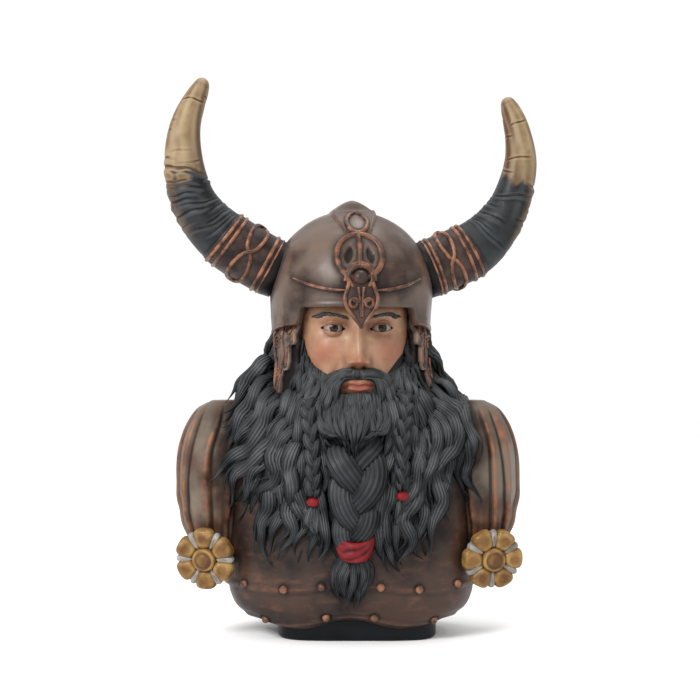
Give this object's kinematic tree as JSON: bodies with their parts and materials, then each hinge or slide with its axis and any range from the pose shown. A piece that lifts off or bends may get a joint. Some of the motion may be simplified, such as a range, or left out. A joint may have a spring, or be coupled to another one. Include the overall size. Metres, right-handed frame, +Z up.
{
  "type": "viking warrior bust",
  "caption": "Painted cast bust of a bearded warrior in a horned helmet, with braided beard, lapped cuirass and flower-shaped shoulder bosses, standing on a low plinth.",
  "frame": {"origin": "on the plinth's flat underside, below the middle of the bust", "axes": "+Z up, -Y to the front of the chest, +X to the viewer's right"},
  "size_m": [0.5052, 0.2864, 0.7497],
  "materials": {
    "bust": "painted cast resin, dark brown and black, dry-brushed with copper",
    "horn_left": "painted cast resin, black fading to tan",
    "horn_right": "painted cast resin, black fading to tan",
    "plinth": "satin black paint"
  },
  "bodies": {
    "root": {"bust": "bust", "horn_left": "horn_left", "horn_right": "horn_right", "plinth": "plinth"}
  },
  "joints": []
}
